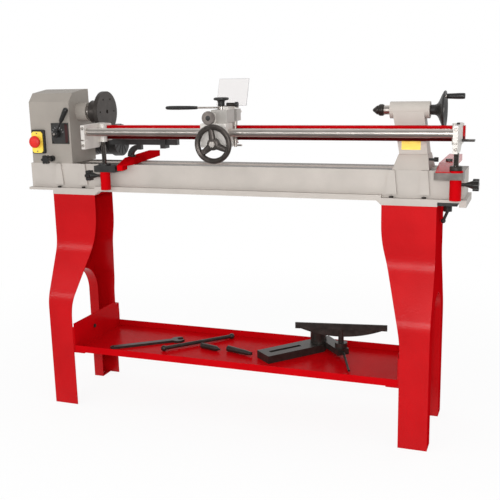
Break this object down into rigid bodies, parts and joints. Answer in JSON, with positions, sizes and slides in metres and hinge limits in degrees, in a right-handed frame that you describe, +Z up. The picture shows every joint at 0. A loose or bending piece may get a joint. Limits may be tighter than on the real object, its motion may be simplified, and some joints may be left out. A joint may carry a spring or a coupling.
{
  "type": "copying wood lathe",
  "caption": "Wood lathe on a sheet steel stand with headstock, tailstock and a copying carriage that runs on a bar and beam in front of the bed.",
  "frame": {"origin": "on the floor below the middle of the bed, centre of the four floor bolt holes", "axes": "+X to the tailstock, +Y to the back, +Z up"},
  "size_m": [1.635, 0.512, 1.1998],
  "materials": {
    "red_paint": "gloss paint on folded sheet steel",
    "grey_casting": "grey hammer paint on cast iron",
    "light_grey_paint": "light grey paint",
    "steel": "ground steel",
    "aluminium": "cast and milled aluminium",
    "black_paint": "black paint",
    "black_plastic": "black moulded plastic",
    "yellow_plastic": "yellow plate",
    "red_plastic": "red moulded plastic",
    "clear_plastic": "clear polycarbonate sheet",
    "belt_rubber": "rubber belt"
  },
  "bodies": {
    "base": {"end_frame_left": "red_paint", "end_frame_right": "red_paint", "tool_tray": "red_paint", "frame_bolts": "steel", "bed": "grey_casting", "headstock": "grey_casting", "belt_cover": "light_grey_paint", "motor": "black_paint", "drive_belt": "belt_rubber", "spindle_bearings": "steel", "speed_plate": "black_plastic", "switch_box": "black_plastic", "switch_plate": "yellow_plastic", "post_sockets": "red_paint", "mount_blocks": "black_paint", "cross_arms": "red_paint", "arm_bolts": "steel", "arm_clamp_plate": "black_paint", "template_rail": "black_paint", "hand_tools": "steel", "banjo": "black_paint", "tool_rest": "black_paint"},
    "spindle_unit": {"spindle": "steel", "spindle_pulley": "aluminium", "faceplate": "black_paint"},
    "motor_rotor": {"motor_pulley": "aluminium"},
    "speed_lever_unit": {"speed_lever": "black_plastic"},
    "stop_button_unit": {"stop_button": "red_plastic"},
    "headstock_knob_unit": {"headstock_knob": "black_plastic"},
    "tailstock_unit": {"tailstock": "light_grey_paint", "tailstock_clamp": "steel"},
    "tailstock_knob_unit": {"tailstock_knob": "black_plastic"},
    "quill_unit": {"quill": "steel", "live_centre_body": "black_paint"},
    "live_point_unit": {"live_centre_point": "black_paint"},
    "tailstock_wheel_unit": {"tailstock_screw": "steel", "tailstock_wheel": "black_paint"},
    "crank_grip_unit": {"crank_grip": "black_plastic"},
    "copy_frame": {"guide_posts": "steel", "end_brackets": "aluminium", "guide_bar": "steel", "beam": "red_paint", "rack": "steel"},
    "post_lock_left_unit": {"post_lock_left": "black_plastic"},
    "post_lock_right_unit": {"post_lock_right": "black_plastic"},
    "star_knob_left_unit": {"star_knob_left": "black_plastic"},
    "star_knob_right_unit": {"star_knob_right": "black_plastic"},
    "arm_clamp_lever_unit": {"arm_clamp_lever": "black_paint"},
    "carriage": {"saddle": "aluminium", "ram_housing": "grey_casting", "shield_holder": "black_paint", "shield": "clear_plastic"},
    "carriage_drive": {"pinion_shaft": "steel", "carriage_wheel": "black_paint"},
    "stop_dial_unit": {"stop_dial": "black_plastic"},
    "lock_lever_unit": {"lock_lever": "black_paint"},
    "feed_lever_unit": {"feed_lever": "black_plastic"},
    "ram_unit": {"tool_ram": "steel", "cutter": "steel", "follower_pin": "steel"}
  },
  "joints": [
    {"name": "spindle_turn", "type": "hinge", "parent": "base", "child": "spindle_unit", "pos_m": [-0.7, 0, 1.09], "axis": [1, 0, 0], "continuous": true},
    {"name": "motor_turn", "type": "hinge", "parent": "base", "child": "motor_rotor", "pos_m": [-0.7, 0.17, 0.972], "axis": [1, 0, 0], "continuous": true},
    {"name": "speed_lever_turn", "type": "hinge", "parent": "base", "child": "speed_lever_unit", "pos_m": [-0.675, -0.09, 1.014], "axis": [0, 1, 0], "range_deg": [-56, 4]},
    {"name": "stop_button_press", "type": "slide", "parent": "base", "child": "stop_button_unit", "axis": [0, 1, 0], "range_m": [0, 0.006], "stiffness_N_per_m": 800, "springref_m": -0.002},
    {"name": "headstock_knob_turn", "type": "hinge", "parent": "base", "child": "headstock_knob_unit", "pos_m": [-0.705, -0.1, 0.923], "axis": [0, 1, 0], "range_deg": [-180, 180]},
    {"name": "tailstock_slide", "type": "slide", "parent": "base", "child": "tailstock_unit", "axis": [1, 0, 0], "range_m": [-0.2, 0.015]},
    {"name": "tailstock_knob_turn", "type": "hinge", "parent": "tailstock_unit", "child": "tailstock_knob_unit", "pos_m": [0.685, -0.04, 0.9365], "axis": [1, 0, 0], "range_deg": [-90, 90]},
    {"name": "tailstock_wheel_turn", "type": "hinge", "parent": "tailstock_unit", "child": "tailstock_wheel_unit", "pos_m": [0.7, 0, 1.09], "axis": [-1, 0, 0], "range_deg": [0, 3600]},
    {"name": "quill_slide", "type": "slide", "parent": "tailstock_unit", "child": "quill_unit", "axis": [-1, 0, 0], "range_m": [0, 0.0505]},
    {"name": "live_point_turn", "type": "hinge", "parent": "quill_unit", "child": "live_point_unit", "pos_m": [0.49, 0, 1.09], "axis": [1, 0, 0], "continuous": true},
    {"name": "crank_grip_turn", "type": "hinge", "parent": "tailstock_wheel_unit", "child": "crank_grip_unit", "pos_m": [0.74, 0, 1.132], "axis": [1, 0, 0], "continuous": true},
    {"name": "copy_frame_height", "type": "slide", "parent": "base", "child": "copy_frame", "axis": [0, 0, 1], "range_m": [-0.025, 0]},
    {"name": "post_lock_left_turn", "type": "hinge", "parent": "copy_frame", "child": "post_lock_left_unit", "pos_m": [-0.5, -0.11, 1.003], "axis": [1, 0, 0], "range_deg": [-90, 90]},
    {"name": "post_lock_right_turn", "type": "hinge", "parent": "copy_frame", "child": "post_lock_right_unit", "pos_m": [0.79, -0.11, 1.003], "axis": [1, 0, 0], "range_deg": [-90, 90]},
    {"name": "star_knob_left_turn", "type": "hinge", "parent": "base", "child": "star_knob_left_unit", "pos_m": [-0.52, -0.11, 0.868], "axis": [1, 0, 0], "range_deg": [-180, 180]},
    {"name": "star_knob_right_turn", "type": "hinge", "parent": "base", "child": "star_knob_right_unit", "pos_m": [0.81, -0.11, 0.868], "axis": [1, 0, 0], "range_deg": [-180, 180]},
    {"name": "arm_clamp_lever_turn", "type": "hinge", "parent": "base", "child": "arm_clamp_lever_unit", "pos_m": [0.726, 0, 0.75], "axis": [0, 0, 1], "range_deg": [-90, 90]},
    {"name": "carriage_slide", "type": "slide", "parent": "copy_frame", "child": "carriage", "axis": [1, 0, 0], "range_m": [-0.38, 0.25]},
    {"name": "carriage_wheel_turn", "type": "hinge", "parent": "carriage", "child": "carriage_drive", "pos_m": [0.015, -0.25, 0.9967], "axis": [0, -1, 0], "range_deg": [-1215, 800]},
    {"name": "stop_dial_turn", "type": "hinge", "parent": "carriage", "child": "stop_dial_unit", "pos_m": [-0.005, -0.235, 1.0785], "axis": [0, 1, 0], "range_deg": [-170, 170]},
    {"name": "lock_lever_turn", "type": "hinge", "parent": "carriage", "child": "lock_lever_unit", "pos_m": [-0.006, -0.047, 0.98], "axis": [0, 0, 1], "range_deg": [0, 50]},
    {"name": "feed_lever_turn", "type": "hinge", "parent": "carriage", "child": "feed_lever_unit", "pos_m": [0.006, -0.148, 1.1], "axis": [0, 0, 1], "range_deg": [-18, 40]},
    {"name": "ram_feed", "type": "slide", "parent": "carriage", "child": "ram_unit", "axis": [0, 1, 0], "range_m": [-0.004, 0.0085]}
  ],
  "couplings": [
    {"joint": "motor_turn", "follows": "spindle_turn", "ratio": 1.5333},
    {"joint": "quill_slide", "follows": "tailstock_wheel_turn", "m_per_rad": 0.00079577},
    {"joint": "carriage_wheel_turn", "follows": "carriage_slide", "rad_per_m": 55.556},
    {"joint": "ram_feed", "follows": "feed_lever_turn", "m_per_rad": 0.012}
  ]
}
